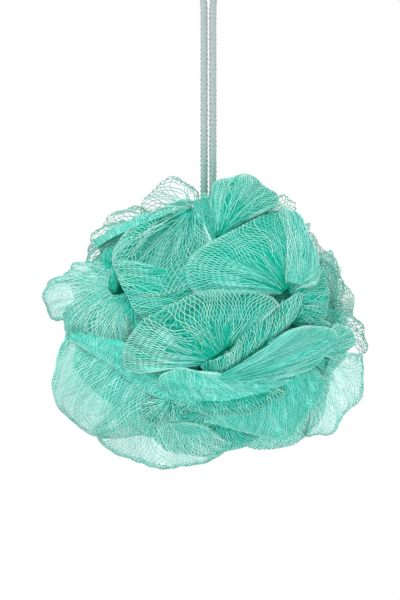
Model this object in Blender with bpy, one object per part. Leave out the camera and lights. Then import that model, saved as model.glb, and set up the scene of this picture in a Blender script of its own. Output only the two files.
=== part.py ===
"""A mesh bath pouf: netting folded into a ball of petals and tied at its waist by a cord,
which rises from the waist as a hanging loop. Metres, +Z up. The origin is the inside top of
the loop. The ball hangs below it with its face towards -Y."""

import math
import random
from collections import namedtuple

import bmesh
import bpy
from mathutils import Matrix, Vector

# Driving dimensions of the ball
BALL_WIDTH = 0.129
BALL_DEPTH = 0.116
BALL_HEIGHT = 0.116
HANG_DROP = 0.154  # from the loop's inside top down to the ball's middle
PACKED_SHARES = (0.64, 0.83, 0.64)  # how far out the folds are packed tight, along X, Y and Z
PACKED_LUMP = 0.035  # how far the packed folds stand out and in, as a share
PETAL_THICKNESS = 0.0036  # of the folded netting at a petal's rim
PETAL_RISE = 0.85  # below 1, a petal rises early to its rim's level
FOOT_SHARE = 0.06  # how deep a petal's foot reaches into the packed folds
FOOT_TAPER = 1.7  # how fast the foot thins from the petal's gather to its rim
PLEAT_HEIGHT = 0.0009  # of the pleats that run out to a petal's rim
PLEAT_COUNT = 3
PETAL_RING_COUNTS = (7, 8, 6, 3)  # petals on the sides and the back, ring by ring
PETAL_RING_TURNS = (78.0, 103.0, 133.0, 164.0)  # degrees from the face to each ring
PETAL_RING_RIMS = ((0.78, 0.86), (0.80, 0.88), (0.90, 0.97), (0.93, 1.0))  # how far out they reach
RING_PUFFS = (3.4, 6.9)  # in hundredths of the half height
RING_STRAY = (9.0, 6.0)  # degrees that such a petal strays along its ring and across it
RING_SIZES = (0.9, 1.12)  # least and greatest share of the turns below
ROOT_TURN = 19.0  # degrees from the middle of such a petal back to its gather
RIM_TURN = 25.0  # degrees from its middle out to its rim
RIM_SWEEP = 95.0  # degrees that its rim sweeps to each side
ROOT_SHARE = 0.68  # how far out its gather lies
FOLD_SEED = 7

# Driving dimensions of the cord
CORD_DIAMETER = 0.0031
STRAND_PITCH = 0.0035
WAIST_RADIUS = 0.0070  # of the netting where the cord pinches it
WAIST_TURNS = 3
KNOT_WIDTH = 0.0088
KNOT_DEPTH = 0.0070
KNOT_HEIGHT = 0.0066
KNOT_FLATNESS = 0.86  # below 1, the knot's sides are flattened
KNOT_GROOVE = 0.12  # how deep the groove between its turns is, as a share
TURN_CORNER = 0.75  # how much of a turn's half height its rounded corner takes
CLEARANCE = 0.0003

# Fineness of the solids
FOLD_VOXEL = 0.0016
NETTING_TRIANGLES = 9500
SOFTENING = 2  # rounds of smoothing over the fused folds
PACKED_FINENESS = 4
PETAL_STEPS = (30, 12)  # across a petal and out to its rim
GATHER_STEP = 0.06  # a petal starts this far out from its gather line
TURN_STEPS = 36
CORD_STEPS = 78

# The left strand from the knot up to the loop's top: how far it stands out from its straight
# run, and its height. The last point is the top itself, on the loop's middle line.
LEFT_STRAND = (
    (0.0, -0.1330), (0.0, -0.1250), (0.0, -0.1150), (0.0, -0.1050), (0.0, -0.0950),
    (0.0, -0.0850), (0.0, -0.0750), (0.0, -0.0650), (0.0, -0.0550), (0.0, -0.0460),
    (0.0, -0.0380), (0.0, -0.0310), (0.00025, -0.0255), (0.00125, -0.0205),
    (0.0029, -0.0158), (0.0045, -0.0112), (0.0051, -0.0068), (0.0042, -0.0026),
    (0.0021, 0.0004),
)

MIDDLE = Vector((0.0, 0.0, -HANG_DROP))
HALF_SIZES = Vector((BALL_WIDTH, BALL_DEPTH, BALL_HEIGHT)) * 0.5
TURN_RADIUS = WAIST_RADIUS + CLEARANCE + CORD_DIAMETER / 2
TURNS_WIDTH = WAIST_TURNS * CORD_DIAMETER
KNOT_BASE = TURN_RADIUS + CORD_DIAMETER / 2 + CLEARANCE
KNOT_TOP = KNOT_BASE + KNOT_HEIGHT

# A petal of the ball's face: the line where it is gathered and the line of its rim, as points
# (x, z) in hundredths of the ball's half width and half height. The levels say how far out from
# the middle each line lies. Where a point has a third value, that is its depth in front of the
# middle, in hundredths of the half depth. The puff is in hundredths of the half height.
Petal = namedtuple("Petal", "name root rim puff levels", defaults=(None,))
FACE_PETALS = (
    Petal("top_left_dome", ((-9, 76, 22),),
          ((-45, 73, 8), (-42, 80, 4), (-37, 88, 2), (-32, 95, 0), (-23, 99, 0), (-16, 98, 0),
           (-10, 92, 2), (-6, 84, 6)), 4),
    Petal("upper_left", ((-28, 62, 34),),
          ((-72, 50, 14), (-73, 57, 10), (-69, 63, 6), (-64, 69, 6), (-56, 76, 6), (-47, 79, 8),
           (-41, 76, 14)), 4),
    Petal("left_lace", ((-36, 62, 50),),
          ((-72, 56, 26), (-75, 47, 18), (-75, 39, 16), (-70, 33, 24), (-60, 34, 36)), 3),
    Petal("upper_left_ridge", ((-69, 50, 40), (-56, 58, 52), (-42, 65, 56), (-22, 74, 54)),
          ((-70, 56, 34), (-60, 63, 40), (-48, 69, 46), (-36, 74, 50), (-18, 78, 50)), 2),
    Petal("bowl_outside", ((-56, 18),),
          ((-68, 34), (-67, 44), (-60, 52), (-50, 57), (-40, 62)), 3, (0.84, 0.9)),
    Petal("bowl_back", ((-9, 77),),
          ((-27, 77), (-42, 65), (-53, 54), (-56, 43), (-51, 27), (-40, 16), (-24, 20), (-8, 32),
           (6, 51)), -11, (0.86, 0.93)),
    Petal("bowl_front_left", ((-15, 32), (-14, 18), (-13, 4)),
          ((-56, 43), (-57, 35), (-52, 23), (-46, 11), (-39, 0)), 3, (0.93, 0.95)),
    Petal("bowl_front_right", ((-32, 32), (-31, 18), (-29, 2)),
          ((4, 50), (2, 38), (-4, 26), (-8, 12)), 2, (0.925, 0.94)),
    Petal("bowl_rim_left", ((-20, 76), (-34, 64), (-46, 52), (-48, 38), (-44, 26)),
          ((-24, 79), (-40, 68), (-52, 56), (-57, 43), (-53, 28)), 2, (0.9, 0.955)),
    Petal("top_right_dome", ((5, 54, 70),),
          ((-2, 83, 40), (2, 90, 34), (5, 95, 28), (11, 99, 24), (20, 101, 22), (28, 98, 24),
           (35, 93, 28), (42, 87, 34), (45, 80, 42)), 7),
    Petal("top_right_lace", ((36, 68, 30),),
          ((36, 84, 14), (42, 87, 12), (48, 87, 10), (53, 82, 10), (55, 74, 14)), 3),
    Petal("right_fan", ((47, 19),),
          ((-9, 16), (-13, 24), (-14, 38), (-7, 48), (8, 58), (26, 69), (41, 77), (51, 76),
           (57, 68), (62, 55), (67, 43), (68, 34), (66, 26)), 5, (0.84, 0.97)),
    Petal("wing_top", ((-60, 24, 58),),
          ((-70, 38, 40), (-77, 41, 32), (-84, 39, 26), (-88, 33, 24), (-92, 28, 22)), 3),
    Petal("wing_tip", ((-62, 22, 56),),
          ((-90, 28, 24), (-98, 27, 14), (-102, 22, 8), (-102, 15, 6), (-100, 7, 8), (-94, 1, 16),
           (-88, 2, 28)), 3),
    Petal("wing_under", ((-58, 22, 60),),
          ((-90, 6, 32), (-89, -2, 34), (-85, -8, 38), (-74, -14, 54), (-62, -18, 64),
           (-52, -16, 74), (-48, -6, 80)), 5),
    Petal("left_band", ((-82, -4), (-64, -8), (-46, -14), (-30, -28), (-12, -40), (2, -46)),
          ((-85, -12), (-75, -18), (-63, -26), (-55, -32), (-46, -41), (-33, -49), (-17, -55),
           (-2, -61)), 3, (0.91, 0.99)),
    Petal("lower_left_lobe", ((-82, -2, 38), (-66, -10, 60), (-50, -21, 73), (-34, -33, 78),
                              (-14, -44, 74), (2, -50, 72)),
          ((-87, -12, 26), (-93, -28, 18), (-94, -44, 12), (-93, -56, 10), (-88, -65, 10),
           (-81, -72, 12), (-72, -76, 18), (-58, -78, 34), (-43, -77, 46), (-30, -75, 50),
           (-16, -73, 52), (-2, -72, 54)), 7),
    Petal("bottom_lobe", ((-52, -54, 60), (-30, -58, 70), (-6, -66, 70)),
          ((-73, -75, 10), (-60, -87, 6), (-46, -95, 6), (-31, -99, 8), (-17, -99, 10),
           (-6, -97, 14), (8, -90, 22), (21, -84, 32)), 6),
    Petal("under_lip", ((8, -50),),
          ((-34, -50), (-33, -60), (-24, -68), (-8, -70), (6, -70)), 3, (0.88, 0.95)),
    Petal("pocket_back", ((-6, -72), (18, -70)),
          ((-32, -82), (-18, -90), (2, -91), (20, -85), (33, -78)), 3, (0.88, 0.96)),
    Petal("pocket_tongue", ((12, -78),),
          ((-2, -88), (-14, -87), (-25, -84), (-31, -78), (-32, -72), (-26, -68), (-16, -68),
           (-3, -70)), 3, (0.9, 0.985)),
    Petal("bottom_right_lobe", ((20, -48, 60), (50, -26, 60)),
          ((19, -85, 34), (34, -88, 24), (49, -84, 18), (61, -77, 18), (67, -70, 22), (71, -58, 30),
           (74, -48, 38), (75, -38, 48)), 5),
    Petal("lower_right_roll", ((6, -36), (30, -32), (56, -24)),
          ((-4, -70), (14, -72), (26, -75), (35, -79), (43, -80), (50, -77), (58, -67), (66, -53),
           (72, -40)), 4, (0.9, 0.985)),
    Petal("right_veil", ((56, 34, 52),),
          ((59, 62, 26), (64, 59, 20), (71, 50, 12), (79, 40, 8), (82, 30, 6), (84, 21, 6),
           (83, 12, 12)), 3),
    Petal("right_middle", ((45, 12),),
          ((67, 40), (71, 32), (73, 22), (73, 12), (70, 3), (64, -4)), 3, (0.86, 0.93)),
    Petal("right_edge", ((66, 6, 46),),
          ((83, 11, 20), (90, 4, 12), (96, -6, 8), (98, -16, 8), (98, -24, 10)), 3),
    Petal("right_corner", ((56, -18, 72),),
          ((79, 1, 50), (85, -4, 44), (90, -10, 38), (87, -18, 42), (82, -27, 46)), 2),
    Petal("lower_right_veil", ((72, -18, 54), (62, -52, 50)),
          ((95, -22, 14), (96, -38, 10), (94, -50, 10), (88, -59, 10), (80, -69, 12), (74, -77, 12),
           (66, -79, 16), (58, -79, 22)), 5),
    Petal("fan_groove", ((4, -40),), ((-6, -28), (4, -24), (12, -22), (20, -26)), 2, (0.9, 0.94)),
    Petal("side_groove", ((48, 0),),
          ((44, 14), (54, 14), (66, 4), (74, -2), (66, -8)), 2, (0.86, 0.92)),
    Petal("front_fan", ((-1, -27), (6, -23), (11, -17)),
          ((-46, -34), (-51, -31), (-52, -23), (-50, -14), (-45, -5), (-38, 3), (-23, 12), (-8, 20),
           (5, 22), (20, 21), (35, 19), (45, 16)), 5, (0.9, 1.02)),
    Petal("second_ruffle", ((9, -34), (22, -26), (34, -16), (48, -4)),
          ((12, -21), (17, -14), (26, -2), (38, 9), (50, 17), (58, 22)), 3, (0.92, 0.985)),
    Petal("folded_ridge", ((50, -16),),
          ((55, -30), (40, -37), (21, -40), (3, -38), (12, -32), (23, -25), (34, -17), (46, -7),
           (54, -3), (62, -2), (72, -3), (78, -7), (78, -14), (73, -21), (64, -29),
           (50, -32)), 4, (0.93, 1.01)),
    Petal("rolled_lip", ((-23, -48), (-14, -54), (0, -55), (18, -53), (36, -47), (52, -38)),
          ((-31, -42), (-28, -34), (-17, -31), (-4, -32), (10, -36), (28, -37)), 4, (0.94, 1.0)),
)


def clear_scene():
    for thing in list(bpy.data.objects):
        bpy.data.objects.remove(thing, do_unlink=True)


def plain_material(name, colour, roughness):
    material = bpy.data.materials.new(name)
    material.use_nodes = True
    shader = material.node_tree.nodes["Principled BSDF"]
    shader.inputs["Base Color"].default_value = (*colour, 1.0)
    shader.inputs["Roughness"].default_value = roughness
    shader.inputs["Metallic"].default_value = 0.0
    return material


def link_object(name, data, material):
    thing = bpy.data.objects.new(name, data)
    bpy.context.scene.collection.objects.link(thing)
    if material:
        data.materials.append(material)
    return thing


def mesh_object(name, form, material=None):
    """An object from a bmesh, with its faces turned out."""
    bmesh.ops.recalc_face_normals(form, faces=form.faces)
    mesh = bpy.data.meshes.new(name)
    form.to_mesh(mesh)
    form.free()
    return link_object(name, mesh, material)


def settled_mesh(thing):
    """The object's mesh with its modifiers applied."""
    bpy.context.view_layer.update()
    seen = thing.evaluated_get(bpy.context.evaluated_depsgraph_get())
    return bpy.data.meshes.new_from_object(seen)


def along(points, share):
    """The point at a share from 0 to 1 of a smooth line through the points."""
    if len(points) == 1:
        return points[0].copy()
    place = share * (len(points) - 1)
    start = min(int(place), len(points) - 2)
    part = place - start
    before = points[max(start - 1, 0)]
    here, there = points[start], points[start + 1]
    after = points[min(start + 2, len(points) - 1)]
    bend = (2 * before - 5 * here + 4 * there - after) * part**2
    twist = (3 * here - before - 3 * there + after) * part**3
    return here + ((there - before) * part + bend + twist) * 0.5


def on_face(point, level):
    """A point of the face as shares of the half sizes, at its own depth or lifted to its level."""
    x, z = point[0] / 100, point[1] / 100
    if len(point) == 3:
        return Vector((x, -point[2] / 100, z))
    return Vector((x, -math.sqrt(max(level**2 - x * x - z * z, 0.0)), z))


def facing(root, rim):
    """The way a petal's face looks, taken at its middle."""
    middle = along(root, 0.5).lerp(along(rim, 0.5), 2 / 3)
    side = (along(rim, 0.8) - along(rim, 0.2)) * HALF_SIZES
    out = (along(rim, 0.5) - along(root, 0.5)) * HALF_SIZES
    normal = side.cross(out).normalized()
    outward = middle.normalized() + Vector((0.0, -0.5, 0.0))
    return normal if normal.dot(outward) > 0 else -normal


def face_lines(petal):
    root_level, rim_level = petal.levels or (None, None)
    root = [on_face(point, root_level) for point in petal.root]
    rim = [on_face(point, rim_level) for point in petal.rim]
    return root, rim, petal.puff / 100, facing(root, rim)


def leaning(face, turn):
    """A direction that leans from -Y by one angle, towards the side given by the other."""
    turn, face = math.radians(turn), math.radians(face)
    return Vector((math.sin(turn) * math.cos(face), -math.cos(turn), math.sin(turn) * math.sin(face)))


def ring_lines():
    """The lines of the petals on the sides and the back, set in rings round the Y axis."""
    chance = random.Random(FOLD_SEED)
    lines = []
    for count, turn, rims in zip(PETAL_RING_COUNTS, PETAL_RING_TURNS, PETAL_RING_RIMS):
        for number in range(count):
            around = 360 * (number + 0.5 * (turn > 120)) / count
            around += chance.uniform(-RING_STRAY[0], RING_STRAY[0])
            away = turn + chance.uniform(-RING_STRAY[1], RING_STRAY[1])
            place = Matrix.Rotation(math.radians(around), 3, "Y") @ Matrix.Rotation(
                math.radians(away), 3, "X")
            face = chance.uniform(0, 360)
            size = chance.uniform(*RING_SIZES)
            root = [place @ leaning(face + 180, ROOT_TURN * size) * ROOT_SHARE]
            rim = [
                place @ leaning(face + RIM_SWEEP * step / 2, RIM_TURN * size)
                * chance.uniform(*rims)
                for step in range(-2, 3)
            ]
            puff = chance.uniform(*RING_PUFFS) / 100
            lines.append((root, rim, puff, facing(root, rim)))
    return lines


def petal_point(lines, across, out, under):
    """A point of a petal's face or, where under is 1, of its underside and foot."""
    root, rim, puff, face = lines
    start, end = along(root, across), along(rim, across)
    level = start.length + (end.length - start.length) * out**PETAL_RISE
    outward = start.lerp(end, out).normalized()
    pleat = PLEAT_HEIGHT * out * math.sin(2 * math.pi * PLEAT_COUNT * across)
    swell = puff * HALF_SIZES.z * math.sin(math.pi * out) * math.sqrt(math.sin(math.pi * across))
    up = (face + outward).normalized()
    place = MIDDLE + outward * level * HALF_SIZES + up * (swell + pleat)
    if not under:
        return place
    packed = 1 / math.sqrt(sum((way / share) ** 2 for way, share in zip(outward, PACKED_SHARES)))
    foot = max(level - packed + FOOT_SHARE, 0.0) * (1 - out) ** FOOT_TAPER
    return place - up * PETAL_THICKNESS - outward * foot * HALF_SIZES


def add_petal(form, lines):
    """A petal as a solid leaf, thin at its rim and rooted in the packed folds."""
    across_steps, out_steps = PETAL_STEPS
    layers = []
    for side in range(2):
        rows = []
        for step in range(out_steps + 1):
            out = max(step / out_steps, GATHER_STEP)
            rows.append([
                form.verts.new(petal_point(lines, index / across_steps, out, side))
                for index in range(across_steps + 1)
            ])
        layers.append(rows)
    for side, rows in enumerate(layers):
        for low, high in zip(rows, rows[1:]):
            for index in range(across_steps):
                corners = (low[index], low[index + 1], high[index + 1], high[index])
                form.faces.new(corners if side == 0 else corners[::-1])
    outer, inner = [edge_walk(rows) for rows in layers]
    for index in range(len(outer)):
        after = (index + 1) % len(outer)
        form.faces.new((outer[after], outer[index], inner[index], inner[after]))


def edge_walk(rows):
    """The points round the edge of a grid, in order."""
    right = [row[-1] for row in rows[1:-1]]
    left = [row[0] for row in rows[1:-1]]
    return rows[0] + right + rows[-1][::-1] + left[::-1]


def packed_folds(form):
    """The folds packed tight round the waist, as a lumpy ball."""
    made = bmesh.ops.create_icosphere(form, subdivisions=PACKED_FINENESS, radius=1.0)
    for vert in made["verts"]:
        way = vert.co.normalized()
        lump = math.sin(7 * way.x + 2) * math.sin(6 * way.z + 1) * math.cos(5 * way.y)
        vert.co = MIDDLE + way * (1 + PACKED_LUMP * lump) * Vector(PACKED_SHARES) * HALF_SIZES


def largest_body(mesh):
    """The mesh with only its largest connected body kept."""
    form = bmesh.new()
    form.from_mesh(mesh)
    form.verts.ensure_lookup_table()
    unseen = set(form.verts)
    bodies = []
    while unseen:
        reached = {unseen.pop()}
        front = list(reached)
        while front:
            vert = front.pop()
            near = {edge.other_vert(vert) for edge in vert.link_edges} - reached
            reached |= near
            front.extend(near)
        unseen -= reached
        bodies.append(reached)
    largest = max(bodies, key=len)
    stray = [vert for vert in form.verts if vert not in largest]
    bmesh.ops.delete(form, geom=stray, context="VERTS")
    return form


def make_netting(material):
    """The petals and the packed folds as one body, cut clear of the cord inside it."""
    form = bmesh.new()
    packed_folds(form)
    for lines in [face_lines(petal) for petal in FACE_PETALS] + ring_lines():
        add_petal(form, lines)
    rough = mesh_object("netting_rough", form)
    fuse = rough.modifiers.new("Fuse", "REMESH")
    fuse.mode = "VOXEL"
    fuse.voxel_size = FOLD_VOXEL
    soften = rough.modifiers.new("Soften", "SMOOTH")
    soften.factor = 0.5
    soften.iterations = SOFTENING
    fused = mesh_object("netting_fused", largest_body(settled_mesh(rough)))
    thin = fused.modifiers.new("Thin", "DECIMATE")
    thin.ratio = NETTING_TRIANGLES / (2 * len(fused.data.polygons))
    for cutter in cord_cutters():
        cut = fused.modifiers.new("Clear the cord", "BOOLEAN")
        cut.operation = "DIFFERENCE"
        cut.solver = "EXACT"
        cut.object = cutter
    netting = mesh_object("netting", largest_body(settled_mesh(fused)), material)
    for thing in (rough, fused):
        bpy.data.objects.remove(thing, do_unlink=True)
    return netting


def box_cutter(name, low, high):
    form = bmesh.new()
    bmesh.ops.create_cube(form, size=1.0)
    for vert in form.verts:
        vert.co = Vector([low[axis] if vert.co[axis] < 0 else high[axis] for axis in range(3)])
    return as_cutter(mesh_object(name, form))


def as_cutter(thing):
    thing.hide_render = True
    thing.display_type = "WIRE"
    return thing


def cord_cutters():
    """The room that the netting leaves round the turns, the knot and the two strands."""
    room = CLEARANCE
    ring = as_cutter(mesh_object("turns_room", turned_ring(room)))
    knot = box_cutter(
        "knot_room",
        MIDDLE + Vector((-KNOT_WIDTH / 2 - room, -KNOT_DEPTH / 2 - room, TURN_RADIUS)),
        MIDDLE + Vector((KNOT_WIDTH / 2 + room, KNOT_DEPTH / 2 + room, KNOT_TOP + room)),
    )
    half_width = (STRAND_PITCH + CORD_DIAMETER) / 2 + room
    half_depth = CORD_DIAMETER / 2 + room
    strands = box_cutter(
        "strand_room",
        MIDDLE + Vector((-half_width, -half_depth, KNOT_TOP - KNOT_HEIGHT / 2)),
        MIDDLE + Vector((half_width, half_depth, BALL_HEIGHT)),
    )
    return ring, knot, strands


def turned_ring(room):
    """The outer shape of the cord's turns round the waist, widened by some room."""
    half_width = TURNS_WIDTH / 2 + room
    half_height = CORD_DIAMETER / 2 + room
    corner = half_height * TURN_CORNER
    profile = [
        (half_width, -half_height + corner), (half_width, half_height - corner),
        (half_width - corner, half_height), (-half_width + corner, half_height),
        (-half_width, half_height - corner), (-half_width, -half_height + corner),
        (-half_width + corner, -half_height), (half_width - corner, -half_height),
    ]
    form = bmesh.new()
    rings = []
    for step in range(TURN_STEPS):
        angle = 2 * math.pi * step / TURN_STEPS
        rings.append([
            form.verts.new(MIDDLE + Vector((
                (TURN_RADIUS + up) * math.sin(angle), side, (TURN_RADIUS + up) * math.cos(angle))))
            for side, up in profile
        ])
    for here, there in zip(rings, rings[1:] + rings[:1]):
        for index in range(len(profile)):
            after = (index + 1) % len(profile)
            form.faces.new((here[index], here[after], there[after], there[index]))
    return form


def make_knot(material):
    """The knot above the turns: a rounded lump with one turn of cord standing proud of it."""
    form = bmesh.new()
    bmesh.ops.create_uvsphere(form, u_segments=20, v_segments=12, radius=1.0)
    half = Vector((KNOT_WIDTH, KNOT_DEPTH, KNOT_HEIGHT)) * 0.5
    centre = MIDDLE + Vector((0.0, 0.0, KNOT_BASE + KNOT_HEIGHT / 2))
    for vert in form.verts:
        way = vert.co
        groove = 0.5 + 0.5 * math.cos(5.0 * (way.z + 0.45 * way.x))
        flat = Vector([
            max(-KNOT_FLATNESS, min(KNOT_FLATNESS, part)) / KNOT_FLATNESS for part in way
        ])
        vert.co = centre + flat * half * (1 - KNOT_GROOVE + KNOT_GROOVE * groove)
    return mesh_object("tie_knot", form, material)


def loop_route():
    """The route of the hanging loop's middle line, up one strand and down the other."""
    foot = MIDDLE.z + KNOT_TOP + CLEARANCE
    left = [Vector((-STRAND_PITCH / 2, 0.0, foot))]
    left += [Vector((-STRAND_PITCH / 2 - parting, 0.0, height)) for parting, height in LEFT_STRAND]
    right = [Vector((-point.x, point.y, point.z)) for point in reversed(left)]
    return left + [Vector((0.0, 0.0, CORD_DIAMETER / 2))] + right


def make_hanging_loop(material):
    """The cord above the knot, as one tube."""
    route = loop_route()
    curve = bpy.data.curves.new("hanging_loop", "CURVE")
    curve.dimensions = "3D"
    curve.bevel_depth = CORD_DIAMETER / 2
    curve.bevel_resolution = 2
    curve.use_fill_caps = True
    spline = curve.splines.new("POLY")
    spline.points.add(CORD_STEPS)
    for index in range(CORD_STEPS + 1):
        spline.points[index].co = (*along(route, index / CORD_STEPS), 1.0)
    return link_object("hanging_loop", curve, material)


def build():
    clear_scene()
    netting_mint = plain_material("netting_mint", (0.16, 0.64, 0.50), 0.45)
    cord_grey = plain_material("cord_grey", (0.52, 0.60, 0.59), 0.75)
    make_netting(netting_mint)
    mesh_object("waist_turns", turned_ring(0.0), cord_grey)
    make_knot(cord_grey)
    make_hanging_loop(cord_grey)


build()
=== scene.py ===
import math
import random
from collections import namedtuple

import bmesh
import bpy
import numpy as np
from mathutils import Matrix, Vector


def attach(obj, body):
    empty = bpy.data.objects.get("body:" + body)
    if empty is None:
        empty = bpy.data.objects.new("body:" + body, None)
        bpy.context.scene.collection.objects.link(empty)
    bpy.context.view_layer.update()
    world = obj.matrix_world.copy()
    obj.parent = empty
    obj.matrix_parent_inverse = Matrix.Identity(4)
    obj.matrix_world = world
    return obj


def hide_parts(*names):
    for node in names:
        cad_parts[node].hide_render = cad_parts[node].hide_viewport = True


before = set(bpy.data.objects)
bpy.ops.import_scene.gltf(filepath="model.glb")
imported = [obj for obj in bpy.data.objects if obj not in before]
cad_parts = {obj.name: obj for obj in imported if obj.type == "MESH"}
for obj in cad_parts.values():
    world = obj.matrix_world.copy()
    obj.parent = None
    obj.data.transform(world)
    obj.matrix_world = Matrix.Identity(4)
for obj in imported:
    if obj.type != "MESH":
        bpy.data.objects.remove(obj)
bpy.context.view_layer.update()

# The ball and the cord, as the solids have them, in metres
BALL_WIDTH = 0.129
BALL_DEPTH = 0.116
BALL_HEIGHT = 0.116
HANG_DROP = 0.154
CORD_DIAMETER = 0.0031
STRAND_PITCH = 0.0035
KNOT_TOP_HEIGHT = 0.0173
CLEARANCE = 0.0003
MIDDLE = np.array((0.0, 0.0, -HANG_DROP))
HALF_SIZES = np.array((BALL_WIDTH, BALL_DEPTH, BALL_HEIGHT)) / 2

# The netting, in metres
THREAD_RADIUS = 0.00016
MESH_PITCH = 0.0017  # from one mesh to the next along a rim
MESH_LENGTH = 0.0044  # of one mesh, from the gather towards the rim
FOLD_GAP = 0.0022  # between a petal's face and its underside
DIVE = 0.012  # that an underside runs on into the ball
PLEAT_HEIGHT = 0.0007
CREASE_HEIGHT = 0.00055  # of the fine creases that run out from the gather
CRUMPLE_HEIGHT = 0.0005

# The shape of a petal. Waves are counted from side to side, and the rest are shares of its size.
PLEAT_WAVES = 3.0
CREASE_WAVES = 11.0
RUFFLE_WAVES = 4.0
FOLD_ROUND = 0.03  # over which it turns under at its edges
RAGGED = 0.004
RUFFLE_RAGGED = 9.0  # added to it for each metre of a ruffle's height
CORNER_START = 0.7
CORNER_CUT = 0.12
PHASE_RATE = 7000  # radians for each metre of puff, so that petals are creased in their own ways

# The threads. Shares are of a petal's length, from 0 at its gather to 1 at its rim and on beyond
# it down the underside.
GATHER_ENDS = (0.0, 0.1, 0.22, 0.4, 0.5)  # shares at which a thread may begin
THREAD_START = 0.07
BEND_START, BEND_END = 0.93, 1.07  # between them the thread turns over the rim
STRAIGHT_SHARE = 0.86  # of the length, from the start to the bend
FULL_REACH = 1.22
OPEN_REACH = 1.02  # where the net is open, so that no underside shows through it
OPEN_LACE = 0.6  # lace above which the net is open
THREAD_STRAY = 0.07  # of a mesh, sideways
THREAD_SWAY = 0.07  # of a mesh, round each of its knots
TONE_CHANCE = 0.14  # by which a thread is lighter or darker than the next
THREAD_SIDES = 3
PIECE_TRIANGLES = 182000  # at most, in one piece of threads

# The sheets under the threads, in shares of a petal's width and length
SHEET_SPREAD = 0.12  # past each side
SHEET_START, SHEET_END = 0.03, 1.8
SIDE_OPENING = 0.85  # how open lace is at its sides

# The folds packed round the waist, in shares of the ball's half sizes
PACKED_SHARES = (0.58, 0.78, 0.58)
PACKED_LUMP = 0.04
PACKED_RIDGE = 0.06

# The petals on the sides and the back: how many in each ring, how far each ring is turned from
# the face, in degrees, and how far out its rims lie
RING_COUNTS = (7, 8, 6, 3)
RING_TURNS = (78.0, 103.0, 133.0, 164.0)
RING_RIMS = ((0.78, 0.86), (0.80, 0.88), (0.90, 0.97), (0.93, 1.0))
RING_STRAY = (9, 6)  # degrees along the ring and across it
BACK_TURN = 120  # from which a ring is at the back
SIDE_TURN = 90  # up to which a ring is ruffled less
SIDE_RUFFLE, BACK_RUFFLE, FILLER_RUFFLE = 0.0015, 0.0024, 0.0030
TURNED_SIZES = (0.9, 1.12)
TURNED_PUFFS = (0.002, 0.004)
ROOT_TURN = 19.0
RIM_TURN = 25.0
RIM_SWEEP = 95.0
ROOT_SHARE = 0.68
FOLD_SEED = 7

# The ruffles deep between the petals. Threads lie on the first and the last few of them.
FILLER_COUNT = 30
FRONT_FILLERS = 5
BACK_FILLERS = 7
FILLER_ROOT = 0.60
FILLER_FRONT, FILLER_BACK = 55, 140  # degrees from the face
FILLER_RIMS = ((0.76, 0.84), (0.70, 0.80), (0.84, 0.92))  # in front, at the sides, behind
GOLDEN_ANGLE = 137.5

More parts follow.
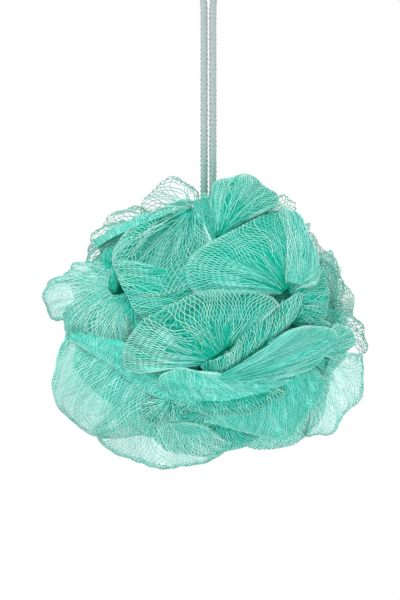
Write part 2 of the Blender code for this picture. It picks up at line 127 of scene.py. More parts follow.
# A petal of the face. Its gather line and rim line are points (x, z) in hundredths of the ball's
# half sizes. Levels say how far out from the ball's middle the two lines lie. A point with a
# third value has its own depth in front of the middle, in hundredths of the half depth.
# Puff is in the same hundredths. Lace runs from 0, dense, to 1, wide open at the rim.
# The weave is bold where the threads stand out one by one. It is smooth, satin or milky where
# they lie fine and close, loose where it veils a hollow, and lace where bare threads show.
PLAIN, BOLD, SMOOTH, MILKY, SATIN = "plain", "bold", "smooth", "milky", "satin"
LOOSE, LACE = "loose", "lace"
Petal = namedtuple("Petal", "name root rim levels puff lace weave", defaults=(0.15, PLAIN))
FACE_PETALS = (
    Petal("top_left_dome", ((-9, 76, 22),),
          ((-45, 73, 8), (-42, 80, 4), (-37, 88, 2), (-32, 95, 0), (-23, 99, 0), (-16, 98, 0),
           (-10, 92, 2), (-6, 84, 6)), (0.8, 1.0), 4, 1.0, LACE),
    Petal("top_left_inner", ((-9, 72, 34),),
          ((-46, 62, 22), (-38, 69, 18), (-29, 75, 14), (-18, 79, 12), (-11, 76, 16)),
          (0.8, 1.0), 4, 0.9, LACE),
    Petal("upper_left", ((-28, 62, 34),),
          ((-72, 50, 14), (-73, 57, 10), (-69, 63, 6), (-64, 69, 6), (-56, 76, 6), (-47, 79, 8),
           (-41, 76, 14)), (0.8, 1.0), 4, 0.9, LACE),
    Petal("left_lace", ((-36, 62, 50),),
          ((-72, 56, 26), (-75, 47, 18), (-75, 39, 16), (-70, 33, 24), (-60, 34, 36)),
          (0.8, 1.0), 3, 0.7, LACE),
    Petal("upper_left_ridge", ((-69, 50, 40), (-56, 58, 52), (-42, 65, 56), (-22, 74, 54)),
          ((-70, 56, 34), (-60, 63, 40), (-48, 69, 46), (-36, 74, 50), (-18, 78, 50)),
          (0.8, 1.0), 2, 0.3, SMOOTH),
    Petal("bowl_outside", ((-56, 18),), ((-68, 34), (-67, 44), (-60, 52), (-50, 57), (-40, 62)),
          (0.84, 0.90), 3, 0.2),
    Petal("bowl_back", ((-9, 77),),
          ((-27, 77), (-42, 65), (-53, 54), (-56, 43), (-51, 27), (-40, 16), (-24, 20), (-8, 32),
           (6, 51)), (0.86, 0.93), -11, 0.5, BOLD),
    Petal("bowl_front_left", ((-15, 32), (-14, 18), (-13, 4)),
          ((-56, 43), (-57, 35), (-52, 23), (-46, 11), (-39, 0)), (0.93, 0.95), 3, 0.1, BOLD),
    Petal("bowl_front_right", ((-32, 32), (-31, 18), (-29, 2)),
          ((4, 50), (2, 38), (-4, 26), (-8, 12)), (0.925, 0.94), 2, 0.1, BOLD),
    Petal("bowl_veil", ((-9, 77),),
          ((-27, 79), (-40, 71), (-52, 60), (-58, 48), (-57, 36), (-50, 24), (-38, 17),
           (-22, 20), (-6, 30), (6, 44)), (0.90, 0.968), -3, 0.3, LOOSE),
    Petal("bowl_inside", ((4, 66),), ((-20, 40), (-12, 32), (-2, 32), (6, 42), (8, 52)),
          (0.82, 0.85), 1, 0.6, BOLD),
    Petal("bowl_rim_left", ((-20, 76), (-34, 64), (-46, 52), (-48, 38), (-44, 26)),
          ((-24, 79), (-40, 68), (-52, 56), (-57, 43), (-53, 28)), (0.90, 0.955), 2, 0.3, BOLD),
    Petal("top_middle", ((4, 46),), ((-10, 80), (-6, 85), (-1, 87), (5, 84)), (0.88, 0.93), 1, 0.1),
    Petal("top_right_dome", ((5, 54, 70),),
          ((-2, 83, 40), (2, 90, 34), (5, 95, 28), (11, 99, 24), (20, 101, 22), (28, 98, 24),
           (35, 93, 28), (42, 87, 34), (45, 80, 42)), (0.84, 1.0), 7, 0.35, BOLD),
    Petal("top_right_lace", ((36, 68, 30),),
          ((36, 84, 14), (42, 87, 12), (48, 87, 10), (53, 82, 10), (55, 74, 14)),
          (0.80, 1.0), 3, 1.0, LACE),
    Petal("right_fan", ((47, 19),),
          ((-9, 16), (-13, 24), (-14, 38), (-7, 48), (8, 58), (26, 69), (41, 77), (51, 76),
           (57, 68), (62, 55), (67, 43), (68, 34), (66, 26)), (0.84, 0.97), 5, 0.25, BOLD),
    Petal("right_strip", ((46, 24), (56, 22), (66, 26)),
          ((41, 77), (48, 78), (54, 74), (60, 62), (66, 46)), (0.92, 0.975), 3, 0.3, MILKY),
    Petal("wing_top", ((-56, 36, 58), (-58, 28, 60), (-58, 20, 62)),
          ((-70, 38, 40), (-77, 41, 32), (-84, 39, 26), (-88, 33, 24), (-92, 28, 22)),
          (0.84, 1.0), 3, 0.7, MILKY),
    Petal("wing_tip", ((-58, 30, 58), (-60, 20, 60), (-58, 8, 62)),
          ((-90, 28, 24), (-98, 27, 14), (-102, 22, 8), (-102, 15, 6), (-100, 7, 8),
           (-94, 1, 16), (-88, 2, 28)), (0.84, 1.0), 3, 0.8, MILKY),
    Petal("wing_under", ((-60, 26, 58), (-54, 18, 66), (-48, 8, 72)),
          ((-90, 6, 32), (-89, -2, 34), (-85, -8, 38), (-74, -14, 54), (-62, -18, 64),
           (-52, -16, 74), (-48, -6, 80)), (0.84, 1.0), 5, 0.5, MILKY),
    Petal("left_pit", ((-44, 22),), ((-62, 16), (-58, 4), (-50, -6), (-38, -8), (-32, 4)),
          (0.86, 0.90), 0, 0.1),
    Petal("left_band", ((-82, -4), (-64, -8), (-46, -14), (-30, -28), (-12, -40), (2, -46)),
          ((-85, -12), (-75, -18), (-63, -26), (-55, -32), (-46, -41), (-33, -49), (-17, -55),
           (-2, -61)), (0.91, 0.99), 3, 0.05, SATIN),
    Petal("lower_left_lobe", ((-82, -2, 38), (-66, -10, 60), (-50, -21, 73), (-34, -33, 78),
                              (-14, -44, 74), (2, -50, 72)),
          ((-87, -12, 26), (-93, -28, 18), (-94, -44, 12), (-93, -56, 10), (-88, -65, 10),
           (-81, -72, 12), (-72, -76, 18), (-58, -78, 34), (-43, -77, 46), (-30, -75, 50),
           (-16, -73, 52), (-2, -72, 54)),
          (0.92, 1.0), 7, 0.75, SMOOTH),
    Petal("bottom_lobe", ((-52, -54, 60), (-30, -58, 70), (-6, -66, 70)),
          ((-73, -75, 10), (-60, -87, 6), (-46, -95, 6), (-31, -99, 8), (-17, -99, 10),
           (-6, -97, 14), (8, -90, 22), (21, -84, 32)), (0.84, 1.0), 6, 0.85, MILKY),
    Petal("lace_curl", ((-22, -50),), ((-42, -53), (-42, -60), (-36, -67), (-27, -68), (-20, -64)),
          (0.985, 1.01), 2, 0.8, BOLD),
    Petal("under_lip", ((8, -50),), ((-34, -50), (-33, -60), (-24, -68), (-8, -70), (6, -70)),
          (0.88, 0.95), 3, 0.25),
    Petal("pocket_back", ((-6, -72), (18, -70)), ((-32, -82), (-18, -90), (2, -91), (20, -85),
          (33, -78)), (0.88, 0.96), 3, 0.4),
    Petal("curl_back", ((-20, -48),), ((-41, -52), (-40, -60), (-34, -66), (-24, -66), (-16, -62)),
          (0.965, 0.985), 1, 0.1, BOLD),
    Petal("pocket_side", ((10, -60),), ((-10, -72), (-2, -81), (12, -85), (26, -80)),
          (0.88, 0.94), 2, 0.2),
    Petal("pocket_tongue", ((12, -78),),
          ((-2, -88), (-14, -87), (-25, -84), (-31, -78), (-32, -72), (-26, -68), (-16, -68),
           (-3, -70)), (0.90, 0.985), 3, 0.15, SATIN),
    Petal("bottom_right_lobe", ((20, -48, 60), (50, -26, 60)),
          ((19, -85, 34), (34, -88, 24), (49, -84, 18), (61, -77, 18), (67, -70, 22),
           (71, -58, 30), (74, -48, 38), (75, -38, 48)), (0.84, 1.0), 5, 0.4, SMOOTH),
    Petal("lower_right_roll", ((6, -36), (30, -32), (56, -24)),
          ((-4, -70), (14, -72), (26, -75), (35, -79), (43, -80), (50, -77), (58, -67),
           (66, -53), (72, -40)), (0.90, 0.985), 4, 0.05, SATIN),
    Petal("right_under", ((56, -22),), ((64, -36), (70, -38), (76, -32), (80, -22), (80, -10)),
          (0.84, 0.92), 2, 0.2),
    Petal("right_veil", ((56, 34, 52),),
          ((59, 62, 26), (64, 59, 20), (71, 50, 12), (79, 40, 8), (82, 30, 6), (84, 21, 6),
           (83, 12, 12)), (0.80, 1.0), 3, 1.0, LACE),
    Petal("right_middle", ((45, 12),),
          ((67, 40), (71, 32), (73, 22), (73, 12), (70, 3), (64, -4)), (0.86, 0.93), 3, 0.4, BOLD),
    Petal("right_edge", ((66, 6, 46),),
          ((83, 11, 20), (90, 4, 12), (96, -6, 8), (98, -16, 8), (98, -24, 10)),
          (0.80, 1.0), 3, 1.0, LACE),
    Petal("right_corner", ((56, -18, 72),),
          ((79, 1, 50), (85, -4, 44), (90, -10, 38), (87, -18, 42), (82, -27, 46)),
          (0.86, 0.99), 2, 0.3, SMOOTH),
    Petal("lower_right_veil", ((72, -18, 54), (62, -52, 50)),
          ((95, -22, 14), (96, -38, 10), (94, -50, 10), (88, -59, 10), (80, -69, 12),
           (74, -77, 12), (66, -79, 16), (58, -79, 22)), (0.82, 1.0), 5, 0.9, MILKY),
    Petal("fan_groove", ((4, -40),), ((-6, -28), (4, -24), (12, -22), (20, -26)),
          (0.90, 0.94), 2, 0.1),
    Petal("ridge_groove", ((40, -46),), ((24, -34), (40, -30), (54, -28), (64, -34)),
          (0.88, 0.95), 2, 0.1),
    Petal("side_groove", ((48, 0),), ((44, 14), (54, 14), (66, 4), (74, -2), (66, -8)),
          (0.86, 0.92), 2, 0.2),
    Petal("front_fan", ((-1, -27), (6, -23), (11, -17)),
          ((-46, -34), (-51, -31), (-52, -23), (-50, -14), (-45, -5), (-38, 3), (-23, 12),
           (-8, 20), (5, 22), (20, 21), (35, 19), (45, 16)), (0.90, 1.02), 5, 0.7, BOLD),
    Petal("second_ruffle", ((9, -34), (22, -26), (34, -16), (48, -4)),
          ((12, -21), (17, -14), (26, -2), (38, 9), (50, 17), (58, 22)), (0.92, 0.985), 3, 0.5,
          BOLD),
    Petal("folded_ridge", ((1, -39),),
          ((40, -37), (50, -33), (64, -29), (73, -21), (78, -14), (78, -7), (72, -3), (62, -2),
           (54, -3), (46, -7), (34, -17)),
          (0.99, 1.0), 3, 0.05, SMOOTH),
    Petal("rolled_lip", ((-23, -48), (-14, -54), (0, -55), (18, -53), (36, -47), (52, -38)),
          ((-31, -42), (-28, -34), (-17, -31), (-4, -32), (10, -36), (28, -37)),
          (0.94, 1.0), 4, 0.1, SATIN),
    Petal("lip_lace", ((-16, -47), (0, -49), (18, -47), (36, -41)),
          ((-20, -56), (-4, -61), (10, -62), (23, -61), (36, -56), (48, -47)),
          (0.95, 0.99), 2, 0.7, BOLD),
)

# A petal ready to be netted: its gather and rim lines in shares of the ball's half sizes, its
# puff in metres, how open it is, the way its underside dives, its weave, and the height of its
# ruffles in metres
Leaf = namedtuple("Leaf", "name root rim puff lace dive weave ruffle", defaults=(0.0,))

# For each weave: the distance between points along a thread, in metres, its shares of the mesh
# pitch and of the thread's thickness, and the tone of its threads. Then, for the sheet under
# them, how closed it is, how much its lines stand out, and its own tone, set darker than the
# threads' partly for the deeper mint of many close layers and partly as painted shade among
# them. Tones run from 0 to 1.
Weave = namedtuple("Weave", "step pitch thick tone cover relief base")
WEAVES = {
    PLAIN: Weave(0.0024, 0.95, 1.05, 0.72, 0.70, 0.36, 0.10),
    BOLD: Weave(0.0015, 0.76, 1.0, 0.74, 0.88, 0.34, -0.04),
    SMOOTH: Weave(0.0025, 0.8, 0.75, 0.78, 0.72, 0.32, 0.46),
    MILKY: Weave(0.0025, 0.9, 1.0, 0.84, 0.56, 0.34, 0.52),
    SATIN: Weave(0.0030, 0.9, 0.6, 0.72, 0.88, 0.26, 0.52),
    LOOSE: Weave(0.0016, 1.15, 0.95, 0.84, 0.20, 0.30, 0.20),
    LACE: Weave(0.0022, 1.15, 1.05, 0.50, 0.12, 0.20, 0.50),
}


def along(points, shares):
    """Places at the shares, from 0 to 1, of a smooth line through the points."""
    points = np.asarray(points, float)
    shares = np.asarray(shares, float)
    if len(points) == 1:
        return np.broadcast_to(points[0], shares.shape + (3,)).copy()
    place = np.clip(shares, 0, 1) * (len(points) - 1)
    start = np.minimum(place.astype(int), len(points) - 2)
    part = (place - start)[..., None]
    before = points[np.maximum(start - 1, 0)]
    here, there = points[start], points[start + 1]
    after = points[np.minimum(start + 2, len(points) - 1)]
    bend = (2 * before - 5 * here + 4 * there - after) * part**2
    twist = (3 * here - before - 3 * there + after) * part**3
    return here + ((there - before) * part + bend + twist) * 0.5


def unit(vectors):
    return vectors / np.maximum(np.linalg.norm(vectors, axis=-1), 1e-12)[..., None]


def on_face(point, level):
    x, z = point[0] / 100, point[1] / 100
    if len(point) == 3:
        return (x, -point[2] / 100, z)
    return (x, -math.sqrt(max(level**2 - x * x - z * z, 0.0)), z)


def mean_normal(root, rim):
    """The way a petal's face looks, taken at its middle."""
    middle = (along(root, 0.5) + 2 * along(rim, 0.5)) / 3
    side = (along(rim, 0.8) - along(rim, 0.2)) * HALF_SIZES
    out = (along(rim, 0.5) - along(root, 0.5)) * HALF_SIZES
    normal = unit(np.cross(side, out))
    facing = unit(middle) + np.array((0.0, -0.5, 0.0))
    return normal if normal @ facing > 0 else -normal


def face_leaves():
    leaves = []
    for petal in FACE_PETALS:
        root, rim = [
            np.array([on_face(point, level) for point in line])
            for line, level in zip((petal.root, petal.rim), petal.levels)
        ]
        leaves.append(Leaf(petal.name, root, rim, petal.puff / 100 * HALF_SIZES[2], petal.lace,
                           mean_normal(root, rim), petal.weave))
    return leaves


def leaning(face, turn):
    """A direction that leans from -Y by one angle, towards the side given by the other."""
    turn, face = math.radians(turn), math.radians(face)
    return Vector((math.sin(turn) * math.cos(face), -math.cos(turn),
                   math.sin(turn) * math.sin(face)))


def turned_leaf(name, around, away, chance, rims, root_share, lace, weave, ruffle):
    """A petal whose middle is turned away from the face, with its rim set by chance."""
    place = Matrix.Rotation(math.radians(around), 3, "Y") @ Matrix.Rotation(
        math.radians(away), 3, "X")
    face = chance.uniform(0, 360)
    size = chance.uniform(*TURNED_SIZES)
    root = np.array([place @ leaning(face + 180, ROOT_TURN * size) * root_share])
    rim = np.array([
        place @ leaning(face + RIM_SWEEP * step / 2, RIM_TURN * size) * chance.uniform(*rims)
        for step in range(-2, 3)
    ])
    puff = chance.uniform(*TURNED_PUFFS)
    return Leaf(name, root, rim, puff, lace, mean_normal(root, rim), weave, ruffle)


def ring_leaves():
    """The petals on the sides and the back, in the same places as in the solids."""
    chance = random.Random(FOLD_SEED)
    along_ring, across_ring = RING_STRAY
    leaves = []
    for count, turn, rims in zip(RING_COUNTS, RING_TURNS, RING_RIMS):
        lace, weave = (0.9, MILKY) if turn < BACK_TURN else (0.85, PLAIN)
        ruffle = SIDE_RUFFLE if turn < SIDE_TURN else BACK_RUFFLE
        for number in range(count):
            around = 360 * (number + 0.5 * (turn > BACK_TURN)) / count
            around += chance.uniform(-along_ring, along_ring)
            away = turn + chance.uniform(-across_ring, across_ring)
            leaves.append(turned_leaf("ring_%d" % len(leaves), around, away, chance, rims,
                                      ROOT_SHARE, lace, weave, ruffle))
    return leaves


def filler_leaves():
    """Ruffles deep between the petals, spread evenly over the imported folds."""
    chance = random.Random(FOLD_SEED + 1)
    leaves = []
    for number in range(FILLER_COUNT):
        away = math.degrees(math.acos(1 - 2 * (number + 0.5) / FILLER_COUNT))
        around = (number * GOLDEN_ANGLE) % 360
        rims = FILLER_RIMS[(away >= FILLER_FRONT) + (away >= FILLER_BACK)]
        lace, ruffle = (0.2, 0.0) if away < FILLER_FRONT else (0.6, FILLER_RUFFLE)
        leaves.append(turned_leaf("filler_%d" % number, around, away, chance, rims, FILLER_ROOT,
                                  lace, PLAIN, ruffle))
    return leaves


def leaf_base(leaf, across, out):
    """The middle surface of a leaf, without its puff and pleats."""
    start, end = along(leaf.root, across), along(leaf.rim, across)
    way = start + (end - start) * out[..., None]
    start_level = np.linalg.norm(start, axis=-1)
    end_level = np.linalg.norm(end, axis=-1)
    level = start_level + (end_level - start_level) * out**0.85
    outward = unit(way)
    return outward * level[..., None] * HALF_SIZES, outward


def folded(value, turn):
    """A share that turns back at 1, rounded over the turn, and how far it is past the turn."""
    inner = 1 + turn - np.sqrt((1 - value) ** 2 + turn**2)
    past = np.clip((value - 1 + 1.6 * turn) / (3.2 * turn), 0, 1)
    return inner, past * past * (3 - 2 * past)


def leaf_surface(leaf, across, over, lift=0.0):
    """Points of a folded leaf. over runs from 0 at the gather to 1 at the rim and on to 2 down
    its underside. across runs from 0 to 1 on the face, and past them round the sides."""
    across, over = np.broadcast_arrays(np.asarray(across, float), np.asarray(over, float))
    out, past_rim = folded(over, FOLD_ROUND)
    middle_share, past_side = folded(np.abs(across - 0.5) * 2, FOLD_ROUND)
    inside = 0.5 + np.sign(across - 0.5) * np.clip(middle_share, 0, 1) / 2
    behind = past_rim + past_side - past_rim * past_side
    phase = PHASE_RATE * leaf.puff
    ragged = np.sin(2 * np.pi * 4.3 * inside + phase) + 0.5 * np.sin(2 * np.pi * 9.7 * inside)
    corner = np.clip((np.abs(inside - 0.5) * 2 - CORNER_START) / (1 - CORNER_START), 0, 1)
    out = np.clip(out, 0.02, 1) * (
        1 + (RAGGED + RUFFLE_RAGGED * leaf.ruffle) * ragged - CORNER_CUT * corner**2)
    place, outward = leaf_base(leaf, inside, out)
    small = 0.01
    beside = leaf_base(leaf, np.where(inside > 0.5, inside - small, inside + small), out)[0]
    below = leaf_base(leaf, inside, out - small)[0]
    side_way = np.where((inside > 0.5)[..., None], place - beside, beside - place)
    normal = unit(np.cross(side_way, place - below))
    facing = (normal * (outward + np.array((0.0, 0.0 if leaf.ruffle else -0.7, 0.0)))).sum(-1)
    normal *= np.where(facing < 0, -1.0, 1.0)[..., None]
    pleat = PLEAT_HEIGHT * out * np.sin(2 * np.pi * PLEAT_WAVES * inside + phase)
    near_gather = out * np.clip(1 - out, 0, 1) ** 0.7 * 2
    crease = CREASE_HEIGHT * near_gather * np.sin(
        2 * np.pi * CREASE_WAVES * inside + 1.2 * np.sin(2 * np.pi * 2.3 * inside))
    swell = np.sin(np.pi * np.clip(out, 0, 1)) * np.sin(np.pi * np.clip(inside, 0.02, 0.98)) ** 0.5
    crumple = CRUMPLE_HEIGHT * out * np.sin(
        2 * np.pi * (1.7 * inside + 1.1 * out) + phase) * np.sin(
        2 * np.pi * (0.8 * inside - 1.9 * out) + 2 * phase)
    ruffle = leaf.ruffle * out**2 * (
        np.sin(2 * np.pi * RUFFLE_WAVES * inside + phase)
        + 0.5 * np.sin(2 * np.pi * 1.7 * RUFFLE_WAVES * inside + 3 * phase))
    height = leaf.puff * swell + pleat + crease + crumple + ruffle
    height = height - behind * FOLD_GAP * (0.4 + 0.6 * swell)
    height = height + lift * (1 - 2 * behind)
    dive = np.clip(over - 1, 0, 1) + np.clip(np.abs(across - 0.5) * 2 - 1, 0, 1)
    dive = DIVE * np.minimum(dive, 1.2) ** 1.3
    return MIDDLE + place + normal * height[..., None] - leaf.dive * dive[..., None]


def leaf_sizes(leaf):
    """The length of a leaf's rim and its length from gather to rim."""
    shares = np.linspace(0, 1, 40)
    rim = leaf_surface(leaf, shares, 1.0)
    spine = leaf_surface(leaf, 0.5, np.linspace(0, 1, 20))
    return (np.linalg.norm(np.diff(rim, axis=0), axis=1).sum(),
            np.linalg.norm(np.diff(spine, axis=0), axis=1).sum())


def net_counts(leaf):
    """How many meshes fit along a leaf's rim and from its gather to its rim."""
    rim_length, spine = leaf_sizes(leaf)
    pitch = MESH_PITCH * (1 + 0.15 * leaf.lace) * WEAVES[leaf.weave].pitch
    return max(6, round(rim_length / pitch)), spine / MESH_LENGTH, spine


def gathered(leaf):
    """How tightly a leaf is gathered: 1 at a single point, and 0 where its root is as long as its
    rim."""
    shares = np.linspace(0, 1, 20)
    root, rim = [
        np.linalg.norm(np.diff(along(line, shares) * HALF_SIZES, axis=0), axis=1).sum()
        for line in (leaf.root, leaf.rim)
    ]
    return 1 - min(root / rim, 1.0)


def strained(across, over, leaf):
    """The net's places pulled a little out of line, the same for both families of threads."""
    phase = 40 * leaf.puff * 1000
    wave = 0.010 * np.sin(2 * np.pi * (2.7 * across + 1.3 * over) + phase)
    wave += 0.006 * np.sin(2 * np.pi * (6.1 * across - 1.9 * over) + 2 * phase)
    return across + wave * np.clip(over * 2, 0, 1)


def leaf_threads(leaf, chance):
    """The two crossing families of threads of one leaf: rows of points with their tones."""
    count, cells, spine = net_counts(leaf)
    weave = WEAVES[leaf.weave]
    reach = OPEN_REACH if leaf.lace > OPEN_LACE else FULL_REACH
    grey, backlit_grey_start = (1.4, 0.3) if leaf.weave == LACE else (1.0, 0.7)
    tight = gathered(leaf)
    bend_end = min(reach, BEND_END)
    past_bend = round(spine * (reach - BEND_END) / weave.step / 1.2)
    samples = np.unique(np.concatenate([
        np.linspace(THREAD_START, BEND_START,
                    max(6, round(spine * STRAIGHT_SHARE / weave.step))),
        np.linspace(BEND_START, bend_end, 5),
        np.linspace(bend_end, reach, max(2, past_bend)),
    ]))
    drift = math.ceil(cells * reach)
    threads = []
    for lean in (-1, 1):
        for number in range(-drift - 1, count + drift + 2):
            start = number + 0.5 + chance.uniform(-THREAD_STRAY, THREAD_STRAY)
            sway = THREAD_SWAY * np.sin(2 * np.pi * cells * samples + chance.uniform(-0.5, 0.5))
            across = strained((start + lean * (cells * samples + sway)) / count, samples, leaf)
            begin = chance.choice(GATHER_ENDS) * (0.3 + 0.7 * tight) + chance.uniform(0.0, 0.08)
            seen = np.flatnonzero((across > -0.1) & (across < 1.1) & (samples > begin))
            if len(seen) < 3:
                continue
            over = samples[seen]
            # Painted highlight: threads are lighter along the rim and the folded sides, where the
            # net turns over
            fold_highlight = np.exp(-((over - 1) / 0.07) ** 2)
            fold_highlight += np.exp(-((np.abs(across[seen] - 0.5) * 2 - 1) / 0.05) ** 2)
            # Lace threads are painted lighter, for the light that shines through open net; the
            # chance part is each thread's own tone
            tone = weave.tone + 0.12 * leaf.lace + chance.uniform(-TONE_CHANCE, TONE_CHANCE)
            tone = tone + 0.16 * fold_highlight
            # Painted shade: threads are darker near the gather of a tightly gathered leaf
            tone -= 0.20 * tight * np.clip(1 - over * 2, 0, 1)
            # Painted shade: threads are darker down the underside, past the rim
            tone -= 0.2 * np.clip((over - 1.1) * 3, 0, 1)
            if leaf.weave == MILKY:
                tone -= 0.36 * leaf.lace * np.clip((over - 0.5) * 2.5, 0, 1)
            points = leaf_surface(leaf, across[seen], over, THREAD_RADIUS * 1.5)
            # Painted shade: lace threads near the rim are mixed towards a grey-mint, for thin
            # threads lit from behind
            pale = grey * leaf.lace * np.clip((over - backlit_grey_start) * 4, 0, 1)
            pale = pale * np.clip((1.12 - over) * 10, 0, 1)
            thick = weave.thick * (1 - 0.2 * leaf.lace * np.clip(over * 1.5 - 0.3, 0, 1))
            threads.append(np.column_stack([points, tone, pale, thick]))
    return threads


def link_mesh(name, mesh):
    piece = bpy.data.objects.new(name, mesh)
    bpy.context.scene.collection.objects.link(piece)
    return piece


def thread_chains(name, threads):
    """An object whose edges are the threads' middle lines, with any values that they carry."""
    counts = [len(thread) for thread in threads]
    rows = np.concatenate(threads)
    starts = np.cumsum([0] + counts[:-1])
    edges = np.concatenate([
        np.stack([np.arange(start, start + count - 1), np.arange(start + 1, start + count)], 1)
        for start, count in zip(starts, counts)
    ])
    mesh = bpy.data.meshes.new(name)
    mesh.vertices.add(len(rows))
    mesh.vertices.foreach_set("co", rows[:, :3].astype(np.float32).ravel())
    mesh.edges.add(len(edges))
    mesh.edges.foreach_set("vertices", edges.astype(np.int32).ravel())
    for label, values in zip(("tone", "pale", "thick"), rows[:, 3:].T):
        mesh.attributes.new(label, "FLOAT", "POINT").data.foreach_set(
            "value", values.astype(np.float32))
    mesh.update()
    return link_mesh(name, mesh)


def strand_tree(material):
    """A tree that lays a round strand along every chain of edges."""
    tree = bpy.data.node_groups.new("Strands", "GeometryNodeTree")
    face = tree.interface
    face.new_socket("Geometry", in_out="INPUT", socket_type="NodeSocketGeometry")
    face.new_socket("Strand Radius", in_out="INPUT", socket_type="NodeSocketFloat")
    face.new_socket("Strand Sides", in_out="INPUT", socket_type="NodeSocketInt")
    face.new_socket("Geometry", in_out="OUTPUT", socket_type="NodeSocketGeometry")
    nodes, links = tree.nodes, tree.links
    given, made = nodes.new("NodeGroupInput"), nodes.new("NodeGroupOutput")
    curve = nodes.new("GeometryNodeMeshToCurve")
    thick = nodes.new("GeometryNodeInputNamedAttribute")
    thick.data_type = "FLOAT"
    thick.inputs["Name"].default_value = "thick"
    sized = nodes.new("GeometryNodeSetCurveRadius")
    circle = nodes.new("GeometryNodeCurvePrimitiveCircle")
    tube = nodes.new("GeometryNodeCurveToMesh")
    smooth = nodes.new("GeometryNodeSetShadeSmooth")
    real = nodes.new("GeometryNodeRealizeInstances")
    paint = nodes.new("GeometryNodeSetMaterial")
    paint.inputs["Material"].default_value = material
    links.new(given.outputs["Geometry"], curve.inputs[0])
    links.new(given.outputs["Strand Radius"], circle.inputs["Radius"])
    links.new(given.outputs["Strand Sides"], circle.inputs["Resolution"])
    links.new(curve.outputs[0], sized.inputs["Curve"])
    links.new(thick.outputs["Attribute"], sized.inputs["Radius"])
    links.new(sized.outputs["Curve"], tube.inputs["Curve"])
    links.new(circle.outputs["Curve"], tube.inputs["Profile Curve"])
    links.new(tube.outputs[0], smooth.inputs["Geometry"])
    links.new(smooth.outputs[0], real.inputs[0])
    links.new(real.outputs[0], paint.inputs["Geometry"])
    links.new(paint.outputs[0], made.inputs[0])
    return tree


def apply_tree(piece, tree, values):
    """Run a node tree on a piece and leave its result as a plain mesh."""
    modifier = piece.modifiers.new("Build", "NODES")
    modifier.node_group = tree
    for item in tree.interface.items_tree:
        if item.in_out == "INPUT" and item.name in values:
            modifier[item.identifier] = values[item.name]
    bpy.context.view_layer.update()
    result = bpy.data.meshes.new_from_object(
        piece.evaluated_get(bpy.context.evaluated_depsgraph_get()))
    piece.modifiers.clear()
    piece.data = result
    return piece


def leaf_sheets(name, leaves, material):
    """The netting under the threads of the leaves, as one sheet with the net's own UV map."""
    points, faces, uvs = [], [], []
    values = {"cover": [], "weft": [], "relief": [], "tone": [], "deep": [], "pale": []}
    base = 0
    for leaf in leaves:
        count, cells, _ = net_counts(leaf)
        weave = WEAVES[leaf.weave]
        bold = leaf.weave == BOLD
        across, over = np.meshgrid(
            np.linspace(-SHEET_SPREAD, 1 + SHEET_SPREAD,
                        52 if bold else 44 if leaf.ruffle else 34),
            np.unique(np.concatenate([
                np.linspace(SHEET_START, 0.92, 18 if bold else 12),
                np.linspace(0.92, 1.08, 6),
                np.linspace(1.08, SHEET_END, 8)])),
            indexing="ij")
        grid = leaf_surface(leaf, strained(across, over, leaf), over)
        points.append(grid.reshape(-1, 3))
        uvs.append(np.stack([across * count, over * cells], -1).reshape(-1, 2))
        out = 1 - np.abs(1 - over)
        opening = 0.45 if leaf.weave == SMOOTH else 0.15
        open_share = np.clip((out - opening) / (0.95 - opening), 0, 1)
        if not bold:
            side = np.clip((np.abs(across - 0.5) * 2 - 0.5) / 0.45, 0, 1)
            open_share = np.maximum(open_share, SIDE_OPENING * side)
        open_share = open_share * leaf.lace
        beyond = np.clip((over - 1) * 4, 0, 1) + np.clip((np.abs(across - 0.5) * 2 - 1) * 8, 0, 1)
        beyond = np.minimum(beyond, 1)
        # Painted shade: where a leaf is tightly gathered, the sheet near its gather is darker, and
        # mixed towards the painted light-through mint
        inner = gathered(leaf) * np.clip(1 - over * 2.2, 0, 1)
        # Painted highlight: the sheet is lighter along the rim and the folded sides, where the net
        # turns over
        fold_highlight = np.exp(-((over - 1) / 0.05) ** 2)
        fold_highlight += np.exp(-((np.abs(across - 0.5) * 2 - 1) / 0.03) ** 2)
        cover = weave.cover * (1 - 0.35 * leaf.lace) * (1 - open_share)
        cover = cover * (1 - leaf.lace**2 * beyond)
        gather_cover = (0.7 - 0.6 * leaf.lace) * np.clip(1 - 3 * out, 0, 1)
        values["cover"].append(np.maximum(cover, gather_cover))
        weft = 0.75 * min(1.0, 2 * weave.cover)
        values["weft"].append(weft * (1 - 0.85 * open_share) * (1 - leaf.lace**2 * beyond))
        values["relief"].append(np.full_like(out, weave.relief))
        # The sheet's tone: painted lighter where lace lets light through, a painted highlight along
        # the folds, and painted shade near a tight gather
        values["tone"].append(weave.base + 0.24 * leaf.lace + 0.34 * fold_highlight - 0.15 * inner)
        # Painted light: undersides and tight gathers are mixed towards the purer mint of light
        # through the mesh
        values["deep"].append(np.maximum(beyond, 0.6 * inner) * (1 - 0.5 * leaf.lace))
        # Painted shade: lace near the rim is mixed towards the grey-mint of threads lit from behind
        values["pale"].append(np.clip((over - 0.8) * 3, 0, 1) * leaf.lace * 0.2 * (1 - beyond))
        index = base + np.arange(grid.shape[0] * grid.shape[1]).reshape(across.shape)
        base += index.size
        quads = np.stack([index[:-1, :-1], index[1:, :-1], index[1:, 1:], index[:-1, 1:]], -1)
        faces.append(quads.reshape(-1, 4))
    mesh = bpy.data.meshes.new(name)
    mesh.from_pydata(np.concatenate(points).tolist(), [], np.concatenate(faces).tolist())
    layer = mesh.uv_layers.new(name="Net")
    loops = np.empty(len(mesh.loops), np.int32)
    mesh.loops.foreach_get("vertex_index", loops)
    layer.data.foreach_set("uv", np.concatenate(uvs)[loops].astype(np.float32).ravel())
    for label, parts in values.items():
        mesh.attributes.new(label, "FLOAT", "POINT").data.foreach_set(
            "value", np.concatenate([part.ravel() for part in parts]).astype(np.float32))
    mesh.shade_smooth()
    mesh.materials.append(material)
    return link_mesh(name, mesh)


